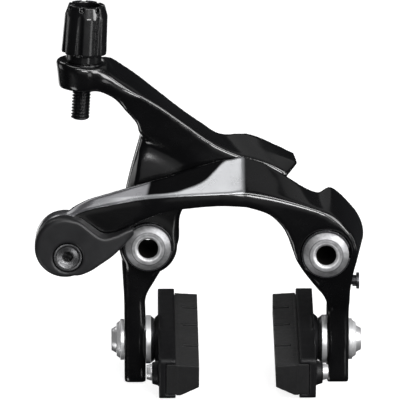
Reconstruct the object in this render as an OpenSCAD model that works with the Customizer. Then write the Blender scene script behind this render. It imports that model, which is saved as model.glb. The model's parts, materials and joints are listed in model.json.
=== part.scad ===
// Direct-mount dual-pivot rim brake caliper.
// X is to the viewer's right, -Y is the front, +Z is up, in millimetres.
// The origin is midway between the two mounting bolts, on the plane that bears on the fork.
// A depth is measured forward from the fork, so the plane at depth 10 is y = -10.

/* [Mounting] */
// Distance between the two mounting bolts
bolt_spacing = 56; // [55:0.5:57]
// Clearance hole for an M6 mounting bolt, diameter
bolt_hole_d = 6.2; // [6:0.1:6.6]
// Outer diameter of the pivot sleeves
sleeve_d = 9; // [8.6:0.1:9]

/* [Brake shoes] */
// Distance between the two braking faces when open
pad_gap = 24.2; // [23:0.2:26]
// Length of a pad and its holder
pad_length = 55; // [50:1:56]
// Angle that a shoe's front end drops, to follow the rim
shoe_tilt = 9; // [0:1:10]
// Height of the shoe bolt below the mounting bolts
shoe_drop = 32.7; // [30.2:0.1:34]

/* [Cable adjuster] */
// Length of the grip of the adjuster knob
knob_h = 15.5; // [13:0.5:16]
// Number of grooves round the knob
knob_grooves = 7; // [5:1:9]

/* [Hidden] */
$fn = 64;

fit = 0.05;                       // radial clearance of a running fit
gap = 0.1;                        // between parts that are stacked along an axis
through = 40;                     // long enough for a hole to leave any part

// Pivots
pivot_x = bolt_spacing / 2;
sleeve_r = sleeve_d / 2;
plate_back = 1;
plate_front = 3.6;
hub_r = 9.2;
hub_back = 4.6;                   // rear face of both hubs
hub_front_left = 19.6;            // front face of the rear arm's hub
hub_front_right = 28.4;           // front face of the front arm's hub
flange_gap = 1.6;                 // from a hub's front face to its sleeve's flange
flange_r = 7.2;
flange_t = 1.6;
recess_r = 8.05;                  // recess round the right-hand flange
bearing_r = 5.5;

// Return springs
spring_wire = 1.5;
spring_r = 6.3;
spring_turns = 3.25;
spring_floor = 10.8;              // bottom of the spring pocket
pocket_r = 7.7;

// Legs
leg_in = 28.8;                    // inner face of a leg
leg_out = 35.6;
leg_mid = (leg_in + leg_out) / 2;
leg_y = -12;                      // middle of the legs and shoes, front to back
leg_foot = -45.1;
slot_r = 3.2;
slot_travel = 10;
slot_mid = -34.2;

// Shoe hardware, from the leg towards the rim
spacer_t = 1.65;
spacer_r = 7.7;
dished_t = 1.1;
shoe_bolt_r = 2.95;
shoe_hole_r = 3.05;
boss_x = leg_in - spacer_t - dished_t - 0.08;
holder_back = boss_x - 1.2;
holder_face = pad_gap / 2 + 7.4;
holder_half_h = 6.9;
holder_lip = 2.2;                 // from the holder's back to the floor of its channel
shoe_centre_z = -1.3;             // middle of a shoe below its bolt
pad_screw_y = -pad_length / 2 + 5.7;
groove_y = [16.5, 3.4, -12.2];    // pad grooves, from the middle of the pad

// Quick release, on the front arm's left end
cam = [-54.2, 3.2];
anchor = [-53.4, 0.1];
eye_r = 9.4;
eye_front = 27.8;
eye_back = 20.6;
journal_r = 6.6;
lever_r = 9.6;
lever_back = 28.3;
lever_front = 33.2;
clamp_bolt_r = 2.45;
clamp_hole_r = 2.5;
cable_y = -17.4;
cable_d = 1.6;
clamp_plate_t = 1.9;
clamp_plate_back = -cable_y - cable_d / 2 - clamp_plate_t - gap;

// Link between the arms
link_z = 24;
roller_r = 3;
link_pin_r = 1.5;
track_half = roller_r + 0.12;
track_angle = [-11, 18];
track_floor = 12;

// Cable adjuster, in its own frame: z is along the barrel from the top of its boss
boss_top = [-48.2, cable_y, 60.2];
boss_tilt = 3.6;
boss_h = 8.7;
boss_r = 8.6;
boss_edge = 0.8;
stud_r = 2.95;
stud_tip = -19;
thread_hole_r = 3.1;
socket_r = 2.65;                  // takes the end of a 5 mm cable housing
socket_floor = 10;
knob_base = 2.6;
knob_r = 7.15;

// Centering screw, in the right-hand leg
screw_y = -9.85;
screw_z = -14.1;
screw_r = 1.3;
screw_head_x = 38.2;

// Sections of the beam from the adjuster boss to the right-hand end, as
// [back top, front top, front bottom, back bottom]
beam = [
    [[-45, -10.5, 59.4], [-45.5, -24, 58], [-45.5, -23.5, 51.6], [-45, -11, 51.6]],
    [[-40.2, -9.2, 59.4], [-41, -23.6, 57.2], [-42.5, -22.6, 50.5], [-41.7, -10, 50.9]],
    [[-37, -8.2, 57.4], [-35.6, -22.8, 53.1], [-38.5, -21.8, 48.1], [-37.7, -9, 48.7]],
    [[-31.6, -7.2, 53.4], [-29.6, -21.8, 49.3], [-34.9, -21, 44.3], [-34.3, -8, 44.9]],
    [[-24.6, -6.2, 47.5], [-23.6, -20.8, 45.4], [-31.6, -20.2, 40.1], [-31.2, -7, 40.5]],
    [[-17.6, -5.6, 41.7], [-16.6, -20, 40.2], [-29.6, -19.7, 35.4], [-29.4, -6, 35.8]],
    [[-10.8, -5, 36.7], [-8.6, -19.4, 34.3], [-19, -19.4, 30], [-19, -5.4, 30.2]],
    [[-5.2, -4.6, 33.2], [-0.4, -19.2, 30.2], [-8, -19.2, 20.5], [-8, -5, 20.6]],
    [[3.6, -4.4, 33], [6.6, -19.2, 28], [4, -19.2, 18.6], [4, -5, 18.6]],
    [[11.2, -4.4, 30.1], [11.6, -19.2, 26.2], [11.6, -19.2, 18.4], [11.6, -5, 18.4]],
    [[18.4, -5, 26.7], [15.9, -19.2, 23.4], [14.6, -19, 18.6], [15.8, -6, 18.8]]
];

// A rail is added along the middle of the beam's top, so that its right-hand end can bulge
crown_rise = [0, 0, 0.15];
end_bulge = [2.3, 0, 0.3];
beam_with_crown = [for (i = [0:len(beam) - 1]) let (s = beam[i])
    [s[0], (s[0] + s[1]) / 2 + (i == len(beam) - 1 ? end_bulge : crown_rise), s[1], s[2], s[3]]];

// Sections of the column from the beam down to the foot of the leg, as
// [left back, left front, front left, front right, right front, right back]
column = [
    [[-30.4, -6.6, 38], [-30.4, -15.5, 38], [-29.6, -17, 38],
        [-20, -17, 36], [-19, -16, 36], [-19, -6.6, 36]],
    [[-30.5, -5.4, 33.4], [-30.7, -15.6, 33.4], [-29.7, -17.6, 33.2],
        [-14, -17.8, 31], [-13, -17, 31], [-13, -5.4, 31]],
    [[-31.9, -5, 28], [-32.2, -16, 28], [-30.9, -18.8, 28],
        [-12, -18.8, 25], [-11, -18, 25], [-11, -5, 25]],
    [[-34.1, -4.8, 19.6], [-34.3, -16.4, 19.6], [-31.8, -19.5, 19.6],
        [-14.6, -19.4, 18], [-13.4, -18.2, 18], [-13.4, -4.8, 18]],
    [[-36, -4.7, 10], [-36.2, -16.8, 10], [-33.8, -19.5, 10],
        [-19, -19.5, 10], [-17.8, -18.4, 10], [-17.8, -4.7, 10]],
    [[-36.8, -4.7, 1], [-36.9, -17.4, 1], [-35.1, -19.4, 1],
        [-20, -19.4, 1], [-18.4, -18, 1], [-18.4, -4.7, 1]],
    [[-36.4, -4.7, -5.5], [-36.4, -17.6, -5.5], [-35, -19.3, -5.5],
        [-23.6, -19.3, -5.5], [-22.1, -17.6, -5.5], [-22.1, -4.7, -5.5]],
    [[-36, -4.8, -12], [-36, -17.8, -12], [-34.6, -19.2, -12],
        [-27.4, -19.2, -12], [-26, -17.6, -12], [-26, -4.8, -12]],
    [[-35.7, -5, -17.6], [-35.7, -18, -17.6], [-34.5, -19, -17.6],
        [-30, -19, -17.6], [-leg_in, -17.8, -17.6], [-leg_in, -5, -17.6]],
    for (z = [-26, leg_foot])
        [[-leg_out, -5, z], [-leg_out, -18, z], [-leg_out + 1.1, -19, z],
            [-leg_in - 1, -19, z], [-leg_in, -18, z], [-leg_in, -5, z]]
];

// Sections of the front arm from the cable eye, over the arch and down to the foot of the leg, as
// [back top, crest, front bottom, back bottom]. Its top rises to a stop lug above the right-hand pivot.
arch = [
    [[-55, -23.8, 12.2], [-55, -27.4, 11.4], [-55, -27.4, -5], [-55, -23.8, -5.4]],
    [[-48, -23.7, 16.4], [-47.5, -27.5, 14.2], [-47, -27.5, -2.6], [-47, -23.7, -3.2]],
    [[-40, -23.6, 19.1], [-40, -27.7, 15.8], [-39.4, -27.7, 4.4], [-39.4, -23.6, 4]],
    [[-31, -23.6, 21.7], [-31, -28.2, 17.6], [-31.4, -28.2, 9.9], [-31.4, -23.6, 9.7]],
    [[-23, -23.6, 24], [-23, -29.6, 18.7], [-22.6, -29.6, 13.7], [-22.2, -23.6, 13.1]],
    [[-15.6, -22.4, 26.2], [-15, -30.5, 19.4], [-14, -30.5, 15.3], [-14, -22.4, 14]],
    [[-7, -20.8, 28.4], [-6.4, -31, 19.9], [-5, -31, 16.1], [-5, -20.8, 13.8]],
    [[1.6, -20.4, 29.8], [1.6, -31, 20.3], [3, -31, 15.7], [3, -20.4, 13.4]],
    [[8, -20.4, 27.8], [8, -31, 19.4], [9.6, -31, 13.5], [9.6, -20.4, 11.2]],
    [[15.2, -20.3, 23.6], [14, -31, 18.2], [13.9, -30.8, 9.6], [13.9, -19.8, 7.2]],
    [[20.6, -20.1, 20], [21.4, -30.8, 16.1], [16.6, -30.4, 4.8], [16.2, -16, 2.1]],
    [[24.2, -18, 17.7], [24.6, -30.8, 15.1], [17.3, -30.2, 2.5], [16.9, -13.4, -0.4]],
    [[26.3, -16.6, 17.1], [26.6, -30.7, 14.3], [17.7, -30.1, 1.1], [17.3, -11.5, -1.9]],
    [[28.2, -15.4, 18], [28.2, -30.7, 13.5], [18, -30, 0], [17.6, -10, -3]],
    [[29.7, -14.4, 18.1], [29.9, -30.6, 12.5], [18.3, -29.9, -1], [17.9, -8.5, -4]],
    [[31.5, -13.2, 16.8], [31.5, -30.6, 11.3], [18.6, -29.8, -1.8], [18.1, -7, -4.8]],
    [[34.7, -11, 13.3], [33.8, -30.4, 9.2], [19.2, -29.6, -3], [18.6, -5.2, -6]],
    [[38.9, -7, 7], [37, -29.8, 4.6], [20.6, -29, -5.4], [20, -4.8, -8.2]],
    [[40.6, -5.8, 0.6], [37.9, -29, -1], [22.6, -27.8, -8.4], [22, -4.7, -10.4]],
    [[38.8, -5, -6.2], [36.8, -27.4, -6.6], [25, -25.6, -12], [24.6, -4.7, -13]],
    [[36.4, -5, -12.4], [36, -24.2, -12.6], [27.5, -22.6, -15.8], [27.3, -4.8, -16.4]],
    [[35.8, -5, -18.4], [35.8, -20.8, -18.6], [leg_in, -20, -20], [leg_in, -5, -20.4]],
    [[leg_out, -5, -23.5], [leg_out, -19.4, -23.5], [leg_in, -19.4, -25], [leg_in, -5, -25]],
    [[leg_out, -5, leg_foot], [leg_out, -19, leg_foot], [leg_in, -19, leg_foot], [leg_in, -5, leg_foot]]
];
ridge = 7;                        // section of the arch at its peak, where its top face has a corner

// Sections of the lever's tail, as [back top, front top, front bottom, back bottom]
tail = [
    [[-56, -lever_back, 11.2], [-56, -lever_front, 10.7], [-56, -lever_front, -4.4], [-56, -lever_back, -5]],
    [[-50.4, -lever_back, 12.2], [-50.6, -lever_front, 11.7], [-50.8, -lever_front, -5.8],
        [-50.6, -lever_back, -6.2]],
    [[-46, -lever_back, 9.5], [-46.4, -lever_front, 8.9], [-46.6, -lever_front, -4.5],
        [-46.2, -lever_back, -5.2]],
    [[-42.4, -28.4, 7], [-42.6, -33, 6.2], [-42.8, -32.9, -2.1], [-42.4, -28.4, -2.7]],
    [[-38.6, -28.6, 7.3], [-38.8, -32.4, 6.6], [-39, -32.2, 0.5], [-38.6, -28.6, 0]],
    [[-34.8, -28.9, 8.7], [-35, -31.6, 8.1], [-35.2, -31.4, 4.2], [-34.8, -28.9, 3.7]],
    [[-32.4, -29.2, 9.1], [-32.7, -30.8, 8.6], [-32.9, -30.6, 6.9], [-32.5, -29.2, 6.5]]
];

// --- Shapes --------------------------------------------------------------

function cr(a, b, c, d, t) =
    0.5 * (2 * b + (c - a) * t + (2 * a - 5 * b + 4 * c - d) * t * t + (3 * b - a - 3 * c + d) * t * t * t);

function unit(v) = norm(v) == 0 ? v : v / norm(v);

// A smooth curve through a list of points, with n steps between neighbours and a corner at one of them
function spline(p, n, corner) = let (m = len(p) - 1) [
    for (i = [0:m - 1])
        let (before = p[i == corner ? i : max(i - 1, 0)], after = p[i + 1 == corner ? i + 1 : min(i + 2, m)])
            for (k = [0:n - 1]) cr(before, p[i], p[i + 1], after, k / n),
    p[m]
];

// A solid whose sections are rings of points, joined by smooth rails
module loft(sections, n = 6, flip = false, corner = -1) {
    rails = len(sections[0]);
    order = flip ? [rails - 1:-1:0] : [0:rails - 1];
    curves = [for (r = order) spline([for (s = sections) s[r]], n, corner)];
    rows = len(curves[0]);
    points = [for (i = [0:rows - 1]) for (r = [0:rails - 1]) curves[r][i]];
    sides = [
        for (i = [0:rows - 2]) for (r = [0:rails - 1])
            let (a = i * rails + r, b = i * rails + (r + 1) % rails)
                for (t = [[a, b, b + rails], [a, b + rails, a + rails]]) t
    ];
    start = [for (r = [1:rails - 2]) [0, r + 1, r]];
    last = (rows - 1) * rails;
    end = [for (r = [1:rails - 2]) [last, last + r, last + r + 1]];
    polyhedron(points, concat(sides, start, end), convexity = 8);
}

// A round wire swept along points, as an n-sided tube
module wire(path, r, n = 8) {
    last = len(path) - 1;
    across = [0.6, 1, 0.6];         // not along any stretch of the wire
    sections = [for (i = [0:last])
        let (t = unit(path[min(i + 1, last)] - path[i]) + unit(path[i] - path[max(i - 1, 0)]),
             u = unit(cross(t, across)),
             w = unit(cross(u, t)))
            [for (k = [0:n - 1]) path[i] + r * (cos(360 * k / n) * u + sin(360 * k / n) * w)]];
    loft(sections, 1);
}

// A round bar along Y from depth a to depth b, which may be a cone
module bar(x, z, r, a, b, r2 = undef) {
    translate([x, -a, z]) rotate([90, 0, 0]) cylinder(r1 = r, r2 = is_undef(r2) ? r : r2, h = b - a);
}

module tube(x, z, r_out, r_in, a, b) {
    difference() {
        bar(x, z, r_out, a, b);
        bar(x, z, r_in, a - 1, b + 1);
    }
}

// A round bar along X, which may be a cone
module crossbar(x1, x2, y, z, r, r2 = undef) {
    translate([x1, y, z]) rotate([0, 90, 0]) cylinder(r1 = r, r2 = is_undef(r2) ? r : r2, h = x2 - x1);
}

module disc_with_hole(x1, x2, y, z, r, hole, r2 = undef) {
    difference() {
        crossbar(x1, x2, y, z, r, r2);
        crossbar(x1 - 1, x2 + 1, y, z, hole);
    }
}

// Sockets for a hexagonal key, in a face across Y at a depth and in a face across X
module hex_in_front(at, size, depth, deep) {
    translate([at.x, -depth + deep, at.y]) rotate([90, 0, 0]) cylinder(d = size, h = deep + 1, $fn = 6);
}

module hex_in_side(x, y, z, size, deep) {
    translate([x - 1, y, z]) rotate([0, 90, 0]) cylinder(d = size, h = deep + 1, $fn = 6);
}

// --- Fixed to the fork ---------------------------------------------------

module mounting_plate() {
    arch_z = -12;
    arch_r = norm([pivot_x, arch_z]);
    band = 6;
    ear_r = 8;
    color("dimgray") difference() {
        union() {
            difference() {
                tube(0, arch_z, arch_r + band / 2, arch_r - band / 2, plate_back, plate_front);
                translate([-60, -10, -80]) cube([120, 20, 80]);
            }
            for (s = [-1, 1]) bar(s * pivot_x, 0, ear_r, plate_back, plate_front);
        }
        for (s = [-1, 1]) {
            bar(s * pivot_x, 0, sleeve_r + 0.02, 0, 9);
            bar(s * pivot_x, spring_r, spring_wire / 2 + 0.1, 0, 9);
        }
    }
}

module pivot_sleeve(x, hub_front) {
    flange = hub_front + flange_gap;
    rim = flange + 0.35;
    front = flange + flange_t;
    face_r = 5.3;
    mouth_r = 3.8;
    mouth = front - 0.7;
    color("silver") difference() {
        union() {
            bar(x, 0, sleeve_r, 0, flange + 0.1);
            bar(x, 0, flange_r, flange, rim);
            bar(x, 0, flange_r, rim, front, face_r);
        }
        bar(x, 0, bolt_hole_d / 2, -1, through);
        bar(x, 0, bolt_hole_d / 2, mouth, front + 0.01, mouth_r);
    }
}

module snap_ring(x, hub_front) {
    back = hub_front + 0.75;
    ring_t = 0.6;
    ring_r = 7.75;
    mouth = [[0, 0], [12, -2.2], [12, 3.6]];
    color("silver") difference() {
        tube(x, 0, ring_r, sleeve_r + fit, back, back + ring_t);
        translate([x, -back, 0]) rotate([90, 0, 0]) linear_extrude(3, center = true) polygon(mouth);
    }
}

module spring_bush(x) {
    bush_r = 5.35;
    color("black") tube(x, 0, bush_r, sleeve_r + fit, plate_front + gap, spring_floor - gap);
}

// The coil starts in the plate above the sleeve, winds forward into the arm and ends in a straight leg
module return_spring(x, hand, leg) {
    step = 18;
    back = plate_front + 0.2 + spring_wire / 2;
    front = spring_floor - 0.2 - spring_wire / 2;
    coil = [for (a = [0:step:360 * spring_turns])
        [x + hand * spring_r * sin(a), -(back + (front - back) * a / 360 / spring_turns), spring_r * cos(a)]];
    start = [x, -plate_back - 0.3, spring_r];
    end = coil[len(coil) - 1] - [0, 0, leg];
    color("silver") wire(concat([start], coil, [end]), spring_wire / 2);
}

// --- Arms ----------------------------------------------------------------

// Hub bore, spring pocket and shoe slot, cut out of the arm on side s
module arm_cuts(s, hub_front) {
    x = s * pivot_x;
    leg_slot = [2, 12, 17];         // channel for the spring's straight leg
    reach = 9;
    bar(x, 0, bearing_r + 0.03, 0, hub_front + 5);
    bar(x, 0, pocket_r, 0, spring_floor);
    translate([x + s * spring_r - leg_slot.x / 2, -spring_floor, -leg_slot.z]) cube(leg_slot);
    for (z = [-1, 1])
        crossbar(s * leg_mid - reach, s * leg_mid + reach, leg_y, slot_mid + z * slot_travel / 2, slot_r);
    translate([s * leg_mid - reach, leg_y - slot_r, slot_mid - slot_travel / 2])
        cube([2 * reach, 2 * slot_r, slot_travel]);
}

module in_boss_frame() {
    translate(boss_top) rotate([0, boss_tilt, 0]) children();
}

// A round bar in the adjuster's frame from height a to height b, which may be a cone
module barrel(r, a, b, r2 = undef) {
    translate([0, 0, a]) cylinder(r1 = r, r2 = is_undef(r2) ? r : r2, h = b - a);
}

module rear_arm() {
    foot_r = 7.3;
    gasket_seat_r = 6.6;
    color("#18181a") difference() {
        union() {
            loft(beam_with_crown, flip = true);
            loft(column);
            bar(-pivot_x, 0, hub_r, hub_back, hub_front_left);
            in_boss_frame() {
                barrel(foot_r, -boss_h, -boss_edge, boss_r);
                barrel(boss_r, -boss_edge, 0, boss_r - 0.5);
            }
        }
        in_boss_frame() {
            barrel(thread_hole_r, -20, 20);
            barrel(gasket_seat_r, -1, 4);
        }
        arm_cuts(-1, hub_front_left);
        link_track();
    }
}

// The roller's path in the rear arm: an arc about the middle of the two pivots
module link_track() {
    translate([0, -track_floor, 0]) rotate([90, 0, 0]) {
        rotate([0, 0, 90 - track_angle[1]]) rotate_extrude(angle = track_angle[1] - track_angle[0])
            translate([link_z - track_half, 0]) square([2 * track_half, 12]);
        for (end = track_angle)
            rotate([0, 0, 90 - end]) translate([link_z, 0, 0]) cylinder(r = track_half, h = 12);
    }
}

module front_arm() {
    eye_edge = 2;
    tapped_r = 1.4;
    color("#18181a") difference() {
        union() {
            loft(arch, flip = true, corner = ridge);
            bar(cam.x, cam.y, eye_r, eye_back, eye_front - eye_edge);
            bar(cam.x, cam.y, eye_r, eye_front - eye_edge, eye_front, eye_r - 0.5);
        }
        bar(cam.x, cam.y, journal_r + fit, 0, through);
        bar(pivot_x, 0, recess_r, hub_front_right, through);
        arm_cuts(1, hub_front_right);
        bar(0, link_z, link_pin_r + 0.02, 10, 24);
        crossbar(leg_mid, leg_mid + 9, screw_y, screw_z, tapped_r);
    }
}

module pivot_bearings(x, hub_front) {
    rear_l = 3.5;
    front_l = 4;
    washer_r = 7;
    washer_t = 0.55;
    inner = sleeve_r + fit;
    color("dimgray") {
        tube(x, 0, bearing_r, inner, spring_floor + gap, spring_floor + gap + rear_l);
        tube(x, 0, bearing_r, inner, hub_front - front_l, hub_front);
        tube(x, 0, washer_r, inner, hub_front + fit, hub_front + fit + washer_t);
    }
}

module link_pin() {
    head = 12.8;
    head_r = 2.4;
    color("silver") {
        bar(0, link_z, link_pin_r, head, 23.9);
        bar(0, link_z, head_r, head - 0.5, head);
    }
}

module link_roller() {
    color("silver") tube(0, link_z, roller_r, link_pin_r + fit, 12.9, 19.3);
}

// --- Cable quick release -------------------------------------------------

module release_lever() {
    edge = 0.7;
    dish_r = 4.75;
    dish_floor = 30.2;
    color("#38383b") difference() {
        union() {
            loft(tail, flip = true);
            bar(cam.x, cam.y, lever_r, lever_back, lever_front - edge);
            bar(cam.x, cam.y, lever_r, lever_front - edge, lever_front, lever_r - edge);
        }
        bar(anchor.x, anchor.y, dish_r, dish_floor, through);
        bar(anchor.x, anchor.y, clamp_hole_r + gap, 20, through);
    }
}

module release_cam() {
    color("silver") difference() {
        bar(cam.x, cam.y, journal_r, -cable_y + cable_d / 2, lever_back - 0.02);
        bar(anchor.x, anchor.y, clamp_hole_r, 0, through);
    }
}

module release_washer() {
    washer_r = 8.8;
    color("silver") tube(cam.x, cam.y, washer_r, journal_r + 0.2, eye_front + gap, lever_back - gap);
}

module cable_clamp_plate() {
    plate_r = 5;
    ear = [6.4, clamp_plate_t, 8];  // reaches past the cable
    front = clamp_plate_back + clamp_plate_t;
    color("silver") difference() {
        union() {
            bar(anchor.x, anchor.y, plate_r, clamp_plate_back, front);
            translate([anchor.x, -front, anchor.y - ear.z / 2]) cube(ear);
        }
        bar(anchor.x, anchor.y, clamp_hole_r + fit, 0, through);
    }
}

module cable_clamp_bolt() {
    head_r = 4.36;
    head_back = 30.3;
    head_front = lever_front - 0.2;
    dish = 0.9;
    color("#2a2a2c") difference() {
        union() {
            bar(anchor.x, anchor.y, clamp_bolt_r, 10, 31);
            bar(anchor.x, anchor.y, head_r, head_back, head_front);
        }
        bar(anchor.x, anchor.y, 1.7, head_front - dish, head_front + 0.01, head_r - 0.55);
        hex_in_front(anchor, 3.46, head_front, 2.6);
    }
}

module cable_clamp_nut() {
    nut_d = 9.2;
    nut_t = 4;
    front = clamp_plate_back - gap;
    color("silver") difference() {
        translate([anchor.x, -front + nut_t, anchor.y]) rotate([90, 0, 0])
            cylinder(d = nut_d, h = nut_t, $fn = 6);
        bar(anchor.x, anchor.y, clamp_hole_r, 0, through);
    }
}

// --- Cable adjuster ------------------------------------------------------

module adjuster_knob() {
    neck_r = 5.6;
    waist_r = 6.75;
    mouth_r = 5.7;
    bore_r = 4.1;
    flare = 0.4;
    taper = 3.4;
    top = knob_base + knob_h;
    groove_r = 1.25;
    groove_at = waist_r + 0.85;
    first_groove = -105;
    color("#1b1b1d") in_boss_frame() difference() {
        union() {
            barrel(neck_r, -0.25, knob_base + 0.25);
            barrel(knob_r - 0.15, knob_base, knob_base + flare, knob_r);
            barrel(knob_r, knob_base + flare, top - taper, waist_r);
            barrel(waist_r, top - taper, top, mouth_r);
        }
        barrel(stud_r + gap, -2, 7);
        barrel(bore_r, 6, 26);
        for (k = [0:knob_grooves - 1]) rotate([0, 0, first_groove + 360 / knob_grooves * k]) {
            translate([groove_at, 0, knob_base - 1]) cylinder(r = groove_r, h = knob_h + 4);
            translate([groove_at, 0, top - taper]) rotate([0, -atan((waist_r - mouth_r) / taper), 0])
                cylinder(r = groove_r, h = taper + 2);
            translate([bore_r + 0.4, -groove_r / 2, top - 1.5]) cube([4, groove_r, 3]);
        }
    }
}

module adjuster_bolt() {
    collar_r = 4;
    collar = 9;
    collar_top = 15;
    tip = 0.6;
    core_r = 1.2;
    color("#1b1b1d") in_boss_frame() difference() {
        union() {
            barrel(stud_r - 0.55, stud_tip, stud_tip + tip, stud_r);
            barrel(stud_r, stud_tip + tip, collar + 0.6);
            barrel(collar_r, collar, collar_top);
        }
        barrel(core_r, -20, 20);
        barrel(socket_r, socket_floor, collar_top + 1);
    }
}

module adjuster_gasket() {
    gasket_r = 6.2;
    color("black") in_boss_frame() difference() {
        barrel(gasket_r, -0.98, -0.28);
        barrel(stud_r + 0.35, -2, 2);
    }
}

module centering_screw() {
    tip_x = pivot_x + spring_r + 0.95;
    head_r = 2.6;
    head_t = 0.9;
    neck_r = 1.8;
    neck_l = 1.2;
    color("#1b1b1d") difference() {
        union() {
            crossbar(tip_x, screw_head_x, screw_y, screw_z, screw_r);
            crossbar(screw_head_x - neck_l, screw_head_x, screw_y, screw_z, neck_r);
            crossbar(screw_head_x, screw_head_x + head_t, screw_y, screw_z, head_r);
        }
        hex_in_side(screw_head_x + 1, screw_y, screw_z, 2.3, 2);
    }
}

// --- Brake shoes, drawn for the left side --------------------------------

module shoe_bolt() {
    head = leg_out + 2.5;
    head_t = 1.6;
    color("silver") difference() {
        union() {
            crossbar(-head - 0.1, -holder_back + 1.5, leg_y, -shoe_drop, shoe_bolt_r);
            crossbar(-head - head_t, -head, leg_y, -shoe_drop, 3.4, 4.3);
        }
        hex_in_side(-head - head_t, leg_y, -shoe_drop, 4.6, 2.2);
    }
}

module outer_washers() {
    flat = leg_out + fit;
    flat_t = 1.2;
    cone = flat + flat_t + fit;
    cone_t = 1.15;
    color("silver") {
        disc_with_hole(-flat - flat_t, -flat, leg_y, -shoe_drop, 6.5, shoe_hole_r);
        disc_with_hole(-cone - cone_t, -cone, leg_y, -shoe_drop, 5.2, shoe_hole_r, 6);
    }
}

module spacer_washer() {
    x = -leg_in + fit;
    color("silver") disc_with_hole(x, x + spacer_t - fit, leg_y, -shoe_drop, spacer_r, shoe_hole_r);
}

module dished_washer() {
    x = -leg_in + spacer_t + fit;
    color("#2a2a2c") disc_with_hole(x, x + dished_t, leg_y, -shoe_drop, spacer_r - 0.2, shoe_hole_r, 6.6);
}

// The shoe's own frame: x as the caliper, y along the shoe, z up, from the middle of its bolt
module in_shoe_frame() {
    translate([0, leg_y, -shoe_drop]) rotate([shoe_tilt, 0, 0]) children();
}

module pad_holder() {
    half_l = pad_length / 2;
    width = holder_back - holder_face;
    wall = 1.6;
    corner = 1.3;
    inner_l = half_l - corner;
    inner_h = holder_half_h - corner;
    bottom = shoe_centre_z - holder_half_h;
    floor_x = holder_back - holder_lip;
    color("#1c1c1e") in_shoe_frame() difference() {
        union() {
            for (y = [-1, 1]) for (z = [-1, 1])
                crossbar(-holder_back, -holder_face, y * inner_l, shoe_centre_z + z * inner_h, corner);
            translate([-holder_back, -half_l, bottom + corner]) cube([width, pad_length, 2 * inner_h]);
            translate([-holder_back, -inner_l, bottom]) cube([width, 2 * inner_l, 2 * holder_half_h]);
            crossbar(-boss_x, -holder_back + 0.5, 0, 0, 6.9, 8.4);
            crossbar(-holder_back - 2.2, -holder_back + 0.5, pad_screw_y, shoe_centre_z - 0.3, 3.4, 4.2);
        }
        translate([-floor_x, -half_l - 1, bottom + wall])
            cube([20, pad_length - 0.6, 2 * (holder_half_h - wall)]);
        crossbar(-through, -holder_back + 1.6, 0, 0, 3);
        crossbar(-through, 0, pad_screw_y, shoe_centre_z, 1.3);
    }
}

module brake_pad() {
    half_l = pad_length / 2;
    face = pad_gap / 2;
    root = holder_face - 0.15;
    floor_x = holder_back - holder_lip - gap;
    core_h = holder_half_h - 1.7;
    groove_w = 1.3;
    // Braking face on the left, with its lower corner cut away
    section = [[-root, 5], [-face, 4.6], [-face, -2.8], [-face - 5.8, -5.6], [-root, -5.6]];
    color("#232325") in_shoe_frame() translate([0, 0, shoe_centre_z]) difference() {
        union() {
            translate([0, half_l - 0.2, 0]) rotate([90, 0, 0])
                linear_extrude(pad_length - 0.4) polygon(section);
            translate([-floor_x, -half_l, -core_h])
                cube([floor_x - root + 0.35, pad_length - 1.8, 2 * core_h]);
        }
        for (y = groove_y) translate([-face - 5.1, y - groove_w / 2, -10]) cube([8, groove_w, 20]);
        crossbar(-through, -floor_x + 1.5, pad_screw_y, 0, 1.4);
    }
}

module pad_screw() {
    head = holder_back + 2.25;
    head_t = 1.65;
    color("silver") in_shoe_frame() translate([0, pad_screw_y, shoe_centre_z]) difference() {
        union() {
            crossbar(-head - head_t, -head, 0, 0, 2.2, 2.7);
            crossbar(-head - 0.05, -holder_back + 3.2, 0, 0, 1.25);
        }
        hex_in_side(-head - head_t, 0, 0, 2.3, 1.3);
    }
}

module right() {
    mirror([1, 0, 0]) children();
}

mounting_plate();
pivot_sleeve(-pivot_x, hub_front_left);  // left_pivot_sleeve
pivot_sleeve(pivot_x, hub_front_right);  // right_pivot_sleeve
snap_ring(-pivot_x, hub_front_left);  // left_snap_ring
snap_ring(pivot_x, hub_front_right);  // right_snap_ring
spring_bush(-pivot_x);  // left_spring_bush
spring_bush(pivot_x);  // right_spring_bush
return_spring(-pivot_x, -1, 11);  // left_return_spring
return_spring(pivot_x, 1, 15);  // right_return_spring
rear_arm();
front_arm();
pivot_bearings(-pivot_x, hub_front_left);  // left_pivot_bearings
pivot_bearings(pivot_x, hub_front_right);  // right_pivot_bearings
link_pin();
link_roller();
release_lever();
release_cam();
release_washer();
cable_clamp_bolt();
cable_clamp_plate();
cable_clamp_nut();
adjuster_knob();
adjuster_bolt();
adjuster_gasket();
centering_screw();
shoe_bolt();  // left_shoe_bolt
right() shoe_bolt();  // right_shoe_bolt
outer_washers();  // left_outer_washers
right() outer_washers();  // right_outer_washers
spacer_washer();  // left_spacer_washer
right() spacer_washer();  // right_spacer_washer
dished_washer();  // left_dished_washer
right() dished_washer();  // right_dished_washer
pad_holder();  // left_pad_holder
right() pad_holder();  // right_pad_holder
brake_pad();  // left_brake_pad
right() brake_pad();  // right_brake_pad
pad_screw();  // left_pad_screw
right() pad_screw();  // right_pad_screw
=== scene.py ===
"""Looks for the direct-mount rim brake caliper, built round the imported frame.

The scene is in metres, with the front at -Y and +Z up. Lists of points and sizes are in millimetres where
their comment or docstring says so.
"""

import json
import math

import bmesh
import bpy
import numpy as np
from mathutils import Matrix, Vector


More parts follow.
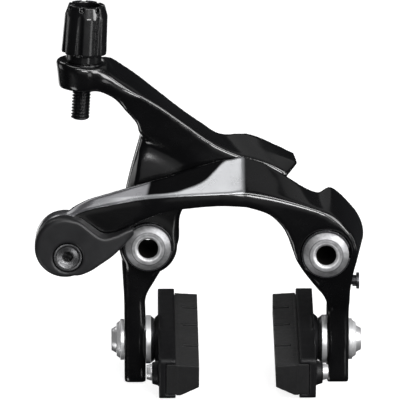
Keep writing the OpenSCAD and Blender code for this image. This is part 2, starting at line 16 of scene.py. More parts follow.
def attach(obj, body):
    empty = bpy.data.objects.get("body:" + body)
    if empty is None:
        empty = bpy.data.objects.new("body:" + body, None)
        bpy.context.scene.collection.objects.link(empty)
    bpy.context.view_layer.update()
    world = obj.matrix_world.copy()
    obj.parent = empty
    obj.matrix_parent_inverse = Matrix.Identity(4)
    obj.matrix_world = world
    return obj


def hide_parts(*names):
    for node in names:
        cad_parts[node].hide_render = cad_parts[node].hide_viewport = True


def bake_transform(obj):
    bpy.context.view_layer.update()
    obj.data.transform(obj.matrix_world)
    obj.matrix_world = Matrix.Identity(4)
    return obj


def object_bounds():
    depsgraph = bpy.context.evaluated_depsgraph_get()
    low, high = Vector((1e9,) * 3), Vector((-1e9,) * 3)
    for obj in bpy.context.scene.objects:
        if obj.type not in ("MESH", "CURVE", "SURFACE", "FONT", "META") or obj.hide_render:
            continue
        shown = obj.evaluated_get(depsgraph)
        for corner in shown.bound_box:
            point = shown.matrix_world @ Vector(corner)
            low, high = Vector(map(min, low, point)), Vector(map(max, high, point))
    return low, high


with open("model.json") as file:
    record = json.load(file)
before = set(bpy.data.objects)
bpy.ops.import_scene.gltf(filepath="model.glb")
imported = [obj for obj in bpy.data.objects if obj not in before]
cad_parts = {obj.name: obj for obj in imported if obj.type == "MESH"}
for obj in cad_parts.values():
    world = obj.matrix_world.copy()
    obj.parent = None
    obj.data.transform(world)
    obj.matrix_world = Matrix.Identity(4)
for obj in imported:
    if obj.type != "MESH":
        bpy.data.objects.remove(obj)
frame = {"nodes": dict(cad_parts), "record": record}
cad_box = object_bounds()

MM = 0.001
BODY_OF = {n: b for b, ns in frame["record"]["behaviour"]["bodies"].items() for n in ns}
PIVOT_X = 28  # mm from the middle to each mounting bolt
WELD_GAP = 0.002  # mm between vertices that are taken for one
BOSS_TOP = Vector((-48.2, -17.4, 60.2))  # mm, the top of the rear arm's cable ring
BOSS_TILT = math.radians(3.6)
BOSS = Matrix.Translation(BOSS_TOP) @ Matrix.Rotation(BOSS_TILT, 4, "Y")


# --- Materials ---------------------------------------------------------------


class Nodes:
    """Short calls for building one material's node tree."""

    def __init__(self, name):
        self.material = bpy.data.materials.new(name)
        self.material.use_nodes = True
        self.tree = self.material.node_tree
        self.tree.nodes.clear()
        self.out = self.add("ShaderNodeOutputMaterial")
        self.coords = self.add("ShaderNodeTexCoord")

    def add(self, kind, **settings):
        node = self.tree.nodes.new(kind)
        for key, value in settings.items():
            setattr(node, key, value)
        return node

    def put(self, socket, value):
        if isinstance(value, bpy.types.NodeSocket):
            self.tree.links.new(value, socket)
        elif value is not None:
            socket.default_value = value

    def noise(self, scale, detail=3.0, rough=0.5, vector=None):
        """Noise in object space. The scale is in waves per metre."""
        node = self.add("ShaderNodeTexNoise")
        self.put(node.inputs["Vector"], vector or self.coords.outputs["Object"])
        node.inputs["Scale"].default_value = scale
        node.inputs["Detail"].default_value = detail
        node.inputs["Roughness"].default_value = rough
        return node.outputs["Fac"]

    def math(self, op, a, b=0.5, c=0.5):
        node = self.add("ShaderNodeMath", operation=op)
        for socket, value in zip(node.inputs, (a, b, c)):
            self.put(socket, value)
        return node.outputs[0]

    def spread(self, value, low, high, out_low=0.0, out_high=1.0, smooth=False):
        """Maps low..high to out_low..out_high and clamps the rest."""
        node = self.add("ShaderNodeMapRange", interpolation_type="SMOOTHSTEP" if smooth else "LINEAR")
        keys = ("Value", "From Min", "From Max", "To Min", "To Max")
        for key, v in zip(keys, (value, low, high, out_low, out_high)):
            self.put(node.inputs[key], v)
        return node.outputs[0]

    def curve(self, value, points, scale):
        """Looks a value up on a curve through points in 0..1, then multiplies it."""
        node = self.add("ShaderNodeFloatCurve")
        self.put(node.inputs["Value"], value)
        line = node.mapping.curves[0]
        while len(line.points) < len(points):
            line.points.new(0.5, 0.5)
        for point, place in zip(line.points, points):
            point.location = place
        node.mapping.update()
        return self.math("MULTIPLY", node.outputs[0], scale)

    def mix(self, factor, a, b):
        node = self.add("ShaderNodeMix", data_type="RGBA")
        self.put(node.inputs[0], factor)
        for socket, colour in ((node.inputs[6], a), (node.inputs[7], b)):
            self.put(socket, colour if isinstance(colour, bpy.types.NodeSocket) else (*colour[:3], 1.0))
        return node.outputs[2]

    def stretch(self, scale):
        """Object coordinates with a scale of their own on each axis."""
        node = self.add("ShaderNodeMapping")
        self.put(node.inputs["Vector"], self.coords.outputs["Object"])
        node.inputs["Scale"].default_value = scale
        return node.outputs[0]

    def bump(self, height, strength, distance, normal=None):
        node = self.add("ShaderNodeBump")
        self.put(node.inputs["Height"], height)
        node.inputs["Strength"].default_value = strength
        node.inputs["Distance"].default_value = distance
        if normal is not None:
            self.put(node.inputs["Normal"], normal)
        return node.outputs[0]

    def worn(self, radius=0.0004):
        """How much a point is on an edge: how far a rounded normal leans from the surface's own."""
        bevel = self.add("ShaderNodeBevel", samples=4)
        bevel.inputs["Radius"].default_value = radius
        geometry = self.add("ShaderNodeNewGeometry")
        dot = self.add("ShaderNodeVectorMath", operation="DOT_PRODUCT")
        self.put(dot.inputs[0], bevel.outputs[0])
        self.put(dot.inputs[1], geometry.outputs["Normal"])
        return self.spread(self.math("SUBTRACT", 1.0, dot.outputs["Value"]), 0.02, 0.25)

    def rounded(self, radius):
        """A normal that is rounded over edges, by a radius in metres."""
        bevel = self.add("ShaderNodeBevel", samples=6)
        bevel.inputs["Radius"].default_value = radius
        return bevel.outputs[0]

    def place(self):
        """The point's X, Y and Z in the object, in metres."""
        place = self.add("ShaderNodeSeparateXYZ")
        self.put(place.inputs[0], self.coords.outputs["Object"])
        return place.outputs

    def ring(self, radius, inner, full_inner, full_outer, outer):
        """A ring between two radii in millimetres, fading in from inner and out to outer."""
        rising = self.spread(radius, inner, full_inner)
        return self.math("MULTIPLY", rising, self.spread(radius, outer, full_outer))

    def pivot_radius(self):
        """Distance from the nearer mounting bolt's axis, in millimetres."""
        place = self.place()
        x = self.math("SUBTRACT", self.math("ABSOLUTE", place["X"]), PIVOT_X * MM)
        squares = self.math("ADD", self.math("MULTIPLY", x, x), self.math("POWER", place["Z"], 2.0))
        return self.math("MULTIPLY", self.math("SQRT", squares), 1 / MM)

    def axis_radius(self, axis):
        """Distance from an axis along Y through (x, z), in millimetres."""
        place = self.place()
        offsets = [self.math("SUBTRACT", place[k], at * MM) for k, at in zip("XZ", axis)]
        squares = self.math("ADD", *(self.math("POWER", offset, 2.0) for offset in offsets))
        return self.math("MULTIPLY", self.math("SQRT", squares), 1 / MM)

    def shader(self, **values):
        node = self.add("ShaderNodeBsdfPrincipled")
        for key, value in values.items():
            self.put(node.inputs[key.replace("_", " ")], value)
        self.tree.links.new(node.outputs[0], self.out.inputs["Surface"])
        return self.material


def gloss_paint(name, colour, lighter, roughness, coat=1.0, reflection_zones=None, rounding=0, coat_roughness=0.13):
    """Black paint under clear lacquer: faint orange peel, flake, and paler rubbed edges.

    A function of the nodes may be given for painted reflections: it returns where a painted silver
    reflection and a painted grey reflection go, and where the black has no lacquer.
    """
    n = Nodes(name)
    flake = n.spread(n.noise(9000, 1, 0.4), 0.62, 0.8)
    cloud = n.spread(n.noise(60, 3), 0.3, 0.7)
    base = n.mix(n.math("MULTIPLY", cloud, 0.35), colour, lighter)
    base = n.mix(n.math("MULTIPLY", flake, 0.08), base, (0.1, 0.1, 0.11))
    rub = n.math("MULTIPLY", n.worn(), n.spread(n.noise(700, 4, 0.6), 0.45, 0.75))
    base = n.mix(n.math("MULTIPLY", rub, 0.1), base, (0.12, 0.12, 0.13))
    smear = n.spread(n.noise(140, 5, 0.6), 0.35, 0.75, roughness * 0.8, roughness * 1.35)
    metallic, specular = 0.0, 0.2
    peel = n.bump(n.noise(850, 2), 0.015, 0.0004, n.rounded(rounding) if rounding else None)
    if reflection_zones:
        silver_painted_reflection, grey_painted_reflection, plain = reflection_zones(n)
        coat = n.spread(plain, 0, 1, coat, 0.0)
        specular = n.spread(plain, 0, 1, 0.2, 0.01)
        # Painted grey and silver reflections, laid into the base colour.
        base = n.mix(grey_painted_reflection, base, (0.14, 0.14, 0.15))
        base = n.mix(silver_painted_reflection, base, (0.32, 0.325, 0.335))
        metallic = n.math("MULTIPLY", n.math("MAXIMUM", silver_painted_reflection, grey_painted_reflection), 0.55)
    return n.shader(
        Base_Color=base,
        Roughness=smear,
        Metallic=metallic,
        Coat_Weight=coat,
        Coat_Roughness=coat_roughness,
        Normal=peel,
        Specular_IOR_Level=specular,
    )


def satin_paint(
    name, colour, lighter, roughness, grain=2600, depth=0.12, rounding=0.0007, specular=0.5, rubbed=0.3
):
    """Low-sheen black coating with a fine grain and rubbed edges."""
    n = Nodes(name)
    rounded = n.rounded(rounding)
    cloud = n.spread(n.noise(90, 4), 0.3, 0.7)
    base = n.mix(n.math("MULTIPLY", cloud, 0.5), colour, lighter)
    rub = n.math("MULTIPLY", n.worn(), n.spread(n.noise(900, 4, 0.6), 0.42, 0.75))
    base = n.mix(n.math("MULTIPLY", rub, rubbed), base, (0.3, 0.3, 0.31))
    rough = n.spread(n.noise(320, 5, 0.6), 0.3, 0.75, roughness * 0.85, roughness * 1.2)
    return n.shader(
        Base_Color=base,
        Roughness=rough,
        Metallic=0.5 * specular,
        Coat_Weight=0.3 * specular,
        Specular_IOR_Level=specular,
        Normal=n.bump(n.noise(grain, 3, 0.55), depth, 0.0002, rounded),
        Coat_Roughness=0.25,
    )


def machined(
    name, colour, axis, roughness=0.3, depth=0.25, tone=0.16, metallic=0.85, bore_shade_and_highlight=False, head=None
):
    """Turned metal: fine rings round an axis, laid over faint streaks and a slightly dirty tone.

    The bore option paints shade inside the mounting sleeves' bores and in a ring at their step, and a
    painted highlight on the lip round each bore. head is the (x, z) in millimetres of a bolt head with a
    groove and a socket, both painted in shade, and it turns the highlights round the axis.
    """
    n = Nodes(name)
    keep = {"X": (1, 0, 0), "Y": (0, 1, 0), "Z": (0, 0, 1)}[axis]
    rings = n.noise(1.0, 4, 0.7, n.stretch([14000 if k else 900 for k in keep]))
    blotch = n.spread(n.noise(420, 5, 0.65), 0.35, 0.7)
    pits = n.spread(n.noise(3600, 2), 0.66, 0.76)
    base = n.mix(blotch, colour, tuple(c * (1 - tone) for c in colour))
    base = n.mix(n.math("MULTIPLY", pits, 0.35), base, tuple(c * 0.35 for c in colour))
    rough = n.spread(rings, 0.3, 0.7, roughness * 0.7, roughness * 1.4)
    specular = 0.5
    turned = None
    if head:
        radius = n.axis_radius(head)
        # Painted shade: the head's groove and hex socket are coloured near black.
        painted_groove_shade = n.math("MULTIPLY", n.ring(radius, 3.35, 3.6, 3.75, 3.95), 0.85)
        painted_socket_shade = n.math("MULTIPLY", n.spread(radius, 2.1, 1.6), 0.8)
        base = n.mix(n.math("MAXIMUM", painted_groove_shade, painted_socket_shade), base, (0.004, 0.004, 0.004))
        turned = n.add("ShaderNodeTangent", direction_type="RADIAL", axis=axis).outputs[0]
    if bore_shade_and_highlight:
        radius = n.pivot_radius()
        # Painted shade inside the bore and in a ring at the step, and a painted highlight on the lip round
        # the bore.
        painted_bore_shade = n.spread(radius, 3.25, 3.1)
        painted_step_shade = n.math("MULTIPLY", n.ring(radius, 5.0, 5.25, 5.3, 5.55), 0.95)
        base = n.mix(painted_step_shade, base, tuple(c * 0.3 for c in colour))
        painted_lip_highlight = n.math("MULTIPLY", n.ring(radius, 3.2, 3.3, 4.1, 4.3), 0.6)
        base = n.mix(painted_lip_highlight, base, (0.85, 0.85, 0.86))
        base = n.mix(painted_bore_shade, base, (0.012, 0.011, 0.01))
        specular = n.spread(painted_bore_shade, 0, 1, 0.5, 0.08)
        rough = n.math("MAXIMUM", rough, painted_bore_shade)
    return n.shader(
        Base_Color=base,
        Metallic=metallic,
        Roughness=rough,
        Anisotropic=0.75 if head else 0.3,
        Tangent=turned,
        Normal=n.bump(rings, depth, 0.00006),
        Specular_IOR_Level=specular,
    )


def soft_black(name, colour, lighter, roughness, grain, depth, sheen=0.0):
    """Moulded plastic or rubber: pebble grain, paler bloom on the edges, uneven sheen."""
    n = Nodes(name)
    cloud = n.spread(n.noise(130, 5, 0.6), 0.3, 0.72)
    base = n.mix(cloud, colour, lighter)
    edge = n.math("MULTIPLY", n.worn(0.0003), n.spread(n.noise(1500, 3), 0.4, 0.7))
    base = n.mix(n.math("MULTIPLY", edge, 0.4), base, tuple(c * 2.6 + 0.02 for c in colour))
    rough = n.spread(n.noise(600, 4, 0.6), 0.3, 0.75, roughness * 0.85, min(1.0, roughness * 1.15))
    height = n.math("ADD", n.noise(grain, 3, 0.55), n.math("MULTIPLY", n.noise(grain * 0.22, 2), 0.6))
    return n.shader(
        Base_Color=base,
        Roughness=rough,
        Specular_IOR_Level=0.28,
        Sheen_Weight=sheen,
        Normal=n.bump(height, depth, 0.00025),
    )


# The upper edge of the painted silver reflection on the front arm: x as a share of the span below, and the
# height, which the rise below turns into a share of the upper face's own height.
PAINTED_REFLECTION_EDGE = [
    (0, 0.17),
    (0.08, 0.184),
    (0.33, 0.204),
    (0.44, 0.272),
    (0.55, 0.344),
    (0.62, 0.42),
    (0.72, 0.61),
    (0.82, 0.78),
    (1, 0.9),
]
PAINTED_REFLECTION_ENDS = (-30, 2)  # x in mm
PAINTED_REFLECTION_RISE = 1.25
FACE_FOOT = (0.078, 20.1)  # slope, and height in mm at x = 0, of the upper face's lower edge
FACE_HEIGHT = (0.167, 9.3)  # slope, and height in mm at x = 0, of the upper face


def arm_painted_reflections(n):
    """The front arm's upper face: a painted silver reflection from its peak down a curved edge, black
    beyond it, and a painted grey reflection towards the cable end and on the eye's edge.
    Returns the two painted reflections and the plain black."""
    place = n.place()
    facing = n.add("ShaderNodeSeparateXYZ")
    n.put(facing.inputs[0], n.coords.outputs["Normal"])
    x = n.math("MULTIPLY", place["X"], 1 / MM)
    z = n.math("MULTIPLY", place["Z"], 1 / MM)
    # The painted reflections follow the faces' direction, as a light above and in front would light them.
    upper = n.spread(facing.outputs["Z"], 0.3, 0.5, smooth=True)
    front = n.spread(facing.outputs["Y"], -0.05, -0.35, smooth=True)
    bevel = n.math("MULTIPLY", upper, front)
    foot = n.math("MULTIPLY_ADD", x, *FACE_FOOT)
    rise = n.math("DIVIDE", n.math("SUBTRACT", z, foot), n.math("MULTIPLY_ADD", x, *FACE_HEIGHT))
    edge = n.curve(n.spread(x, *PAINTED_REFLECTION_ENDS), PAINTED_REFLECTION_EDGE, PAINTED_REFLECTION_RISE)
    silver_painted_reflection = n.spread(n.math("SUBTRACT", edge, rise), -0.05, 0.07, smooth=True)
    silver_painted_reflection = n.math("MULTIPLY", silver_painted_reflection, n.spread(x, 2.8, 1.1, smooth=True))
    silver_painted_reflection = n.math("MULTIPLY", silver_painted_reflection, n.spread(x, -42, -34, smooth=True))
    grey_painted_reflection = n.spread(n.math("MULTIPLY_ADD", rise, -1.5, x), -28.2, -29.6, smooth=True)
    left = n.math("MULTIPLY", bevel, n.spread(x, 2.0, 1.2, smooth=True))
    painted_reflection_area = n.math("MAXIMUM", silver_painted_reflection, grey_painted_reflection)
    sideways = n.spread(facing.outputs["Y"], -0.9, -0.6, smooth=True)
    rim_painted_reflection = n.math("MULTIPLY", n.spread(x, -43, -46, smooth=True), sideways)
    grey_painted_reflection = n.math("MAXIMUM", n.math("MULTIPLY", bevel, grey_painted_reflection), rim_painted_reflection)
    return n.math("MULTIPLY", bevel, silver_painted_reflection), grey_painted_reflection, n.math("SUBTRACT", left, painted_reflection_area)


PAINT = ((0.0018, 0.0018, 0.002), (0.0035, 0.0035, 0.004), 0.24)
FINISHES = {
    "front_paint": (gloss_paint, *PAINT, dict(reflection_zones=arm_painted_reflections)),
    "arm_black": (gloss_paint, *PAINT, {}),
    "lever_grey": (satin_paint, (0.011, 0.011, 0.012), (0.02, 0.02, 0.0215), 0.4, dict(specular=0.4)),
    "bracket_black": (satin_paint, (0.018, 0.018, 0.02), (0.03, 0.03, 0.032), 0.45, {}),
    "machined_silver": (machined, (0.45, 0.45, 0.46), "Y", 0.5, dict(tone=0.45, bore_shade_and_highlight=True)),
    "washer_silver": (machined, (0.9, 0.9, 0.91), "X", 0.45, dict(metallic=0.75)),
    "spring_steel": (machined, (0.85, 0.85, 0.86), "X", 0.36, dict(depth=0.15, metallic=0.8)),
    "dark_steel": (machined, (0.09, 0.09, 0.095), "X", 0.28, dict(depth=0.15)),
    "clamp_black": (machined, (0.16, 0.16, 0.165), "Y", 0.3, dict(depth=0.3, head=(-53.4, 0.1))),
    "stud_black": (
        satin_paint,
        (0.004, 0.004, 0.0045),
        (0.008, 0.008, 0.009),
        0.2,
        dict(rounding=0.00006, rubbed=0.03),
    ),
    "knob_black": (
        gloss_paint,
        (0.003, 0.003, 0.0033),
        (0.006, 0.006, 0.0065),
        0.28,
        dict(coat=0.8, rounding=0.0003, coat_roughness=0.12),
    ),
    "bush_plastic": (
        soft_black,
        (0.02, 0.02, 0.021),
        (0.035, 0.035, 0.036),
        0.55,
        dict(grain=2200, depth=0.2),
    ),
    "shoe_black": (
        satin_paint,
        (0.005, 0.005, 0.0055),
        (0.01, 0.01, 0.011),
        0.46,
        dict(grain=3200, depth=0.25, specular=0.22),
    ),
    "pad_rubber": (
        soft_black,
        (0.0035, 0.0035, 0.0037),
        (0.008, 0.008, 0.0085),
        0.58,
        dict(grain=2400, depth=0.35, sheen=0.08),
    ),
}
MATERIALS = {name: make(name, *rest[:-1], **rest[-1]) for name, (make, *rest) in FINISHES.items()}


def paint(obj, key):
    obj.data.materials.clear()
    obj.data.materials.append(MATERIALS[key])


# --- Meshes --------------------------------------------------------------------


def baked(obj):
    """Turns an object's modifiers into its mesh."""
    graph = bpy.context.evaluated_depsgraph_get()
    mesh = bpy.data.meshes.new_from_object(obj.evaluated_get(graph))
    obj.modifiers.clear()
    obj.data = mesh


def new_object(name, mesh):
    obj = bpy.data.objects.new(name, mesh)
    bpy.context.scene.collection.objects.link(obj)
    return obj


def place(obj, node, key):
    """Gives a new piece its finish and body, and hides the CAD node it stands for."""
    paint(obj, key)
    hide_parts(node)
    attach(obj, BODY_OF[node])


def soften(obj, paths, rounds):
    """Smooths a mesh further near given paths. A path is a list of points and a reach, in millimetres."""
    group = obj.vertex_groups.new(name="soft")
    for points, reach in paths:
        ends = [Vector(p) for p in points]
        low = [min(p[k] for p in ends) - reach for k in range(3)]
        high = [max(p[k] for p in ends) + reach for k in range(3)]
        for vertex in obj.data.vertices:
            c = vertex.co
            if not all(low[k] < c[k] < high[k] for k in range(3)):
                continue
            gap = reach
            for a, b in zip(ends, ends[1:]):
                t = min(1.0, max(0.0, (c - a).dot(b - a) / (b - a).length_squared))
                gap = min(gap, (c - a.lerp(b, t)).length)
            near = 1 - gap / reach
            if near > 0:
                group.add([vertex.index], near * near * (3 - 2 * near), "REPLACE")
    smooth = obj.modifiers.new("soften", "SMOOTH")
    smooth.factor = 0.5
    smooth.iterations = rounds
    smooth.vertex_group = "soft"
    baked(obj)


def even_shading(mesh, rounds):
    """Averages each vertex normal with its neighbours', so that gloss runs evenly over the mesh."""
    count = len(mesh.vertices)
    normals = np.empty(count * 3, dtype=np.float32)
    mesh.vertex_normals.foreach_get("vector", normals)
    normals = normals.reshape(count, 3).astype(np.float64)
    ends = np.empty(len(mesh.edges) * 2, dtype=np.int32)
    mesh.edges.foreach_get("vertices", ends)
    a, b = ends.reshape(-1, 2).T
    for _ in range(rounds):
        total = normals.copy()
        for k in range(3):
            total[:, k] += np.bincount(a, normals[b, k], count) + np.bincount(b, normals[a, k], count)
        normals = total / np.maximum(np.linalg.norm(total, axis=1, keepdims=True), 1e-9)
    mesh.normals_split_custom_set_from_vertices(normals.tolist())


def moulded(node, name, key, voxel, rounds, softer=None, even=4):
    """A copy of a CAD node with its facets smoothed out and its edges rounded.

    voxel is in millimetres. softer is the paths and rounds that soften() takes, and even the rounds of
    even_shading(). The mesh is in millimetres here, as the remesh needs sizes well above its smallest.
    """
    mesh = frame["nodes"][node].data.copy()
    mesh.transform(Matrix.Scale(1 / MM, 4))
    obj = new_object(name, mesh)
    weld = obj.modifiers.new("weld", "WELD")
    weld.merge_threshold = WELD_GAP
    remesh = obj.modifiers.new("remesh", "REMESH")
    remesh.mode = "VOXEL"
    remesh.voxel_size = voxel
    smooth = obj.modifiers.new("smooth", "SMOOTH")
    smooth.factor = 0.5
    smooth.iterations = rounds
    baked(obj)
    if softer:
        soften(obj, *softer)
    obj.data.transform(Matrix.Scale(MM, 4))
    obj.data.shade_smooth()
    even_shading(obj.data, even)
    place(obj, node, key)


def bevelled(node, key, width):
    """Keeps a CAD node and rounds its edges by a width in millimetres."""
    obj = frame["nodes"][node]
    obj.data.shade_smooth()
    weld = obj.modifiers.new("weld", "WELD")
    weld.merge_threshold = WELD_GAP * MM
    bevel = obj.modifiers.new("bevel", "BEVEL")
    bevel.width = width * MM
    bevel.segments = 2
    bevel.limit_method = "ANGLE"
    bevel.angle_limit = math.radians(32)
    normal = obj.modifiers.new("normal", "WEIGHTED_NORMAL")
    normal.keep_sharp = False
    normal.weight = 80
    paint(obj, key)


def lathe(name, profile, steps, radius):
    """Turns a closed profile of (radius, z) points round Z, in millimetres. radius() shapes each point."""
    mesh = bpy.data.meshes.new(name)
    verts, faces, rows = [], [], len(profile)
    for k in range(steps):
        turn = k / steps
        for r, z in profile:
            a = 2 * math.pi * turn
            q = radius(r, z, turn)
            verts.append((q * math.cos(a), q * math.sin(a), z))
    for k in range(steps):
        for i in range(rows):
            a, b = k * rows + i, k * rows + (i + 1) % rows
            c, d = ((k + 1) % steps) * rows + (i + 1) % rows, ((k + 1) % steps) * rows + i
            faces.append((a, b, c, d))
    mesh.from_pydata(verts, [], faces)
    mesh.validate()
    work = bmesh.new()
    work.from_mesh(mesh)
    bmesh.ops.recalc_face_normals(work, faces=work.faces)
    work.to_mesh(mesh)
    work.free()
    mesh.shade_smooth()
    return mesh


# --- Arms, lever, knob and shoes ---------------------------------------------------

# Paths in millimetres along edges that are rounder than the rest: the crest under the front arm's upper
# face, the ridge at its peak, the joint of the rear arm's cable ring and beam, and the column's fold.
CREST = [(3, -30.6, 20.2), (19.8, -30.8, 16.3), (30, -30.3, 12), (37, -29.5, 4)]
RIDGE = [(1.8, -30.8, 20.2), (1.8, -23, 29)]
BOSS_JOINT = [(-46, -23.8, 58.5), (-42, -22.5, 57), (-37, -21, 53)]
COLUMN_FOLD = [(-27, -19, 34), (-13.5, -18, 27)]
FRONT_SOFTER = ([(CREST, 3.5), (RIDGE, 2.2)], 60)
REAR_SOFTER = ([(BOSS_JOINT, 8.5), (COLUMN_FOLD, 6)], 380)
moulded("front_arm", "front_arm_painted", "front_paint", 0.33, 12, FRONT_SOFTER, even=11)
moulded("rear_arm", "rear_arm_painted", "arm_black", 0.34, 12, REAR_SOFTER, even=11)
moulded("release_lever", "release_lever_painted", "lever_grey", 0.2, 12, even=8)
moulded("adjuster_knob", "adjuster_knob_moulded", "knob_black", 0.15, 4)
for side in ("left", "right"):
    moulded(side + "_pad_holder", side + "_pad_holder_cast", "shoe_black", 0.25, 7)
    moulded(side + "_brake_pad", side + "_brake_pad_moulded", "pad_rubber", 0.175, 3)

for node, key, width in (
    ("mounting_plate", "bracket_black", 0.3),
    ("left_pivot_sleeve", "machined_silver", 0.12),
    ("right_pivot_sleeve", "machined_silver", 0.12),
    ("left_snap_ring", "dark_steel", 0.1),
    ("right_snap_ring", "dark_steel", 0.1),
    ("left_spring_bush", "bush_plastic", 0.1),
    ("right_spring_bush", "bush_plastic", 0.1),
    ("left_pivot_bearings", "bush_plastic", 0.08),
    ("right_pivot_bearings", "bush_plastic", 0.08),
    ("link_pin", "spring_steel", 0.15),
    ("link_roller", "bush_plastic", 0.2),
    ("release_cam", "machined_silver", 0.2),
    ("release_washer", "bush_plastic", 0.05),
    ("cable_clamp_bolt", "clamp_black", 0.15),
    ("cable_clamp_plate", "spring_steel", 0.15),
    ("cable_clamp_nut", "spring_steel", 0.2),
    ("adjuster_gasket", "stud_black", 0.1),
    ("centering_screw", "dark_steel", 0.1),
):
    bevelled(node, key, width)
for side in ("left", "right"):
    for part, key, width in (
        ("_shoe_bolt", "spring_steel", 0.2),
        ("_outer_washers", "washer_silver", 0.12),
        ("_spacer_washer", "washer_silver", 0.12),
        ("_dished_washer", "dark_steel", 0.12),
        ("_pad_screw", "spring_steel", 0.15),
    ):
        bevelled(side + part, key, width)


# --- Threaded stud of the cable adjuster -----------------------------------------

# Millimetres, measured along the stud from the cable ring's top.
PITCH = 1.0
STUD_RADIUS = 2.93
THREAD_DEPTH = 0.68
THREAD_LOW, THREAD_HIGH = -18.6, 8.0
THREAD_FADE = 0.7
THREAD_STEP = 0.1


def threaded(r, z, turn):
    """Cuts a helix into the stud's outer face, shallower near its ends. The bore stays as it is."""
    if r < 2 or not THREAD_LOW < z < THREAD_HIGH:
        return r
    wave = 0.5 - 0.5 * math.cos(2 * math.pi * (z / PITCH - turn))
    fade = min(1.0, (z - THREAD_LOW) / THREAD_FADE, (THREAD_HIGH - z) / THREAD_FADE)
    return STUD_RADIUS - THREAD_DEPTH * wave * max(0.25, fade)


thread_steps = int((THREAD_HIGH - THREAD_LOW) / THREAD_STEP)
outline = [(1.2, -18.9), (2.2, -18.9), (2.45, -18.7)]
outline += [(STUD_RADIUS, THREAD_LOW + THREAD_STEP * i) for i in range(1, thread_steps)]
outline += [(STUD_RADIUS, 8.2), (STUD_RADIUS, 9.0), (3.85, 9.0), (3.98, 9.15), (3.98, 14.8)]
outline += [(3.85, 14.98), (2.8, 14.98), (2.66, 14.85)]
outline += [(2.65, 10.1), (1.2, 10.1), (1.2, -10.0)]
stud_mesh = lathe("stud", outline, 48, threaded)
stud_mesh.transform(Matrix.Scale(MM, 4) @ BOSS)
place(new_object("adjuster_stud_threaded", stud_mesh), "adjuster_bolt", "stud_black")


# --- Return springs -------------------------------------------------------------------

for side, sign in (("left", -1), ("right", 1)):
    node = side + "_return_spring"
    mesh = frame["nodes"][node].data.copy()
    coil = new_object(node + "_wire", mesh)
    weld = coil.modifiers.new("weld", "WELD")
    weld.merge_threshold = WELD_GAP * MM
    finer = coil.modifiers.new("finer", "SUBSURF")
    finer.levels = finer.render_levels = 1
    baked(coil)
    coil.data.shade_smooth()
    paint(coil, "spring_steel")
    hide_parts(node)
    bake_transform(coil)


# --- Floor, light and camera --------------------------------------------------------------

FLOOR_Z = cad_box[0].z - 0.0004
FLOOR_HALF = 4  # metres
corners = [(x * FLOOR_HALF, y * FLOOR_HALF, FLOOR_Z) for x, y in ((-1, -1), (1, -1), (1, 1), (-1, 1))]
mesh = bpy.data.meshes.new("floor")
mesh.from_pydata(corners, [], [(0, 1, 2, 3)])
floor = new_object("floor", mesh)
n = Nodes("floor_white")
tone = n.mix(n.spread(n.noise(6, 2), 0.3, 0.7), (0.5, 0.5, 0.5), (0.54, 0.54, 0.54))
floor_material = n.shader(
    Base_Color=tone, Roughness=0.9, Emission_Color=(1, 1, 1, 1), Emission_Strength=0.85
)
floor.data.materials.append(floor_material)
floor.visible_glossy = False
floor.visible_diffuse = False
floor.visible_shadow = False

# The camera sees white beyond the floor, and the rest of the light comes from a faint blue-white room.
world = bpy.data.worlds.new("studio")
bpy.context.scene.world = world
world.use_nodes = True
tree = world.node_tree
tree.nodes.clear()
output = tree.nodes.new("ShaderNodeOutputWorld")
camera_ray = tree.nodes.new("ShaderNodeLightPath")
white = tree.nodes.new("ShaderNodeBackground")
white.inputs[0].default_value = (1, 1, 1, 1)
white.inputs[1].default_value = 1.0
room = tree.nodes.new("ShaderNodeBackground")
room.inputs[0].default_value = (0.9, 0.93, 1, 1)
room.inputs[1].default_value = 0.02
choose = tree.nodes.new("ShaderNodeMixShader")
tree.links.new(camera_ray.outputs["Is Camera Ray"], choose.inputs[0])
tree.links.new(room.outputs[0], choose.inputs[1])
tree.links.new(white.outputs[0], choose.inputs[2])
tree.links.new(choose.outputs[0], output.inputs[0])

TARGET = Vector((-11.55, -15, 13.93)) * MM  # what the middle of the picture shows


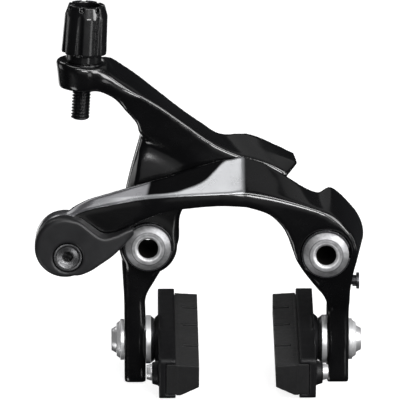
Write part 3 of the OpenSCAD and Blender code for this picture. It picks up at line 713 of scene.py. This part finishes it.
def softbox(name, place_mm, size, power):
    """A soft light aimed at the target. Place in millimetres, size in metres, power in watts."""
    light = bpy.data.lights.new(name, "AREA")
    light.shape = "RECTANGLE"
    light.size, light.size_y = size
    light.energy = power
    obj = bpy.data.objects.new(name, light)
    obj.location = Vector(place_mm) * MM
    obj.rotation_mode = "QUATERNION"
    obj.rotation_quaternion = (TARGET - obj.location).to_track_quat("-Z", "Y")
    obj.visible_camera = False
    bpy.context.scene.collection.objects.link(obj)


softbox("overhead", (-155, -60, 760), (0.36, 0.36), 1.05)
softbox("top_right", (300, 20, 700), (0.35, 0.35), 0.1)
softbox("front_top", (200, -700, 640), (0.9, 0.16), 5.0)
softbox("front_glow", (190, -850, 225), (0.32, 0.15), 3.0)
softbox("front_level", (20, -900, -20), (0.6, 0.36), 0.15)
softbox("front_right", (560, -500, 200), (0.26, 0.4), 3.4)
softbox("front_low", (390, -760, -160), (0.16, 0.24), 0.3)
softbox("left_low", (-339, -287, -327), (0.2, 0.2), 0.5)
softbox("right_top", (660, -380, 600), (0.5, 0.2), 2.0)
softbox("right_strip", (640, -60, 20), (0.12, 0.3), 0.4)
softbox("left_side", (-760, 290, -20), (0.34, 0.34), 0.38)
softbox("behind_high", (250, 700, 790), (1.8, 0.45), 0.5)
softbox("behind_left_high", (-355, 490, 560), (0.3, 0.3), 0.6)
softbox("behind_left_low", (-360, 820, -230), (0.4, 0.4), 0.45)

DISTANCE = 2.5  # metres from the target
PHOTO_WIDTH = 400  # pixels
PIXELS_PER_MM = 3.161  # on the photo
SPAN = PHOTO_WIDTH / PIXELS_PER_MM * MM
AZIMUTH, ELEVATION = math.radians(-0.74), math.radians(15)
camera = bpy.data.cameras.new("camera")
camera.sensor_width = 36
camera.lens = camera.sensor_width * DISTANCE / SPAN
camera.clip_start, camera.clip_end = 0.5, 20
eye = bpy.data.objects.new("camera", camera)
level = Vector((math.sin(AZIMUTH), -math.cos(AZIMUTH), 0)) * math.cos(ELEVATION)
back = level + Vector((0, 0, math.sin(ELEVATION)))
eye.location = TARGET + back * DISTANCE
eye.rotation_mode = "QUATERNION"
eye.rotation_quaternion = (-back).to_track_quat("-Z", "Y")
bpy.context.scene.collection.objects.link(eye)
bpy.context.scene.camera = eye
bpy.context.scene.view_settings.view_transform = "Standard"
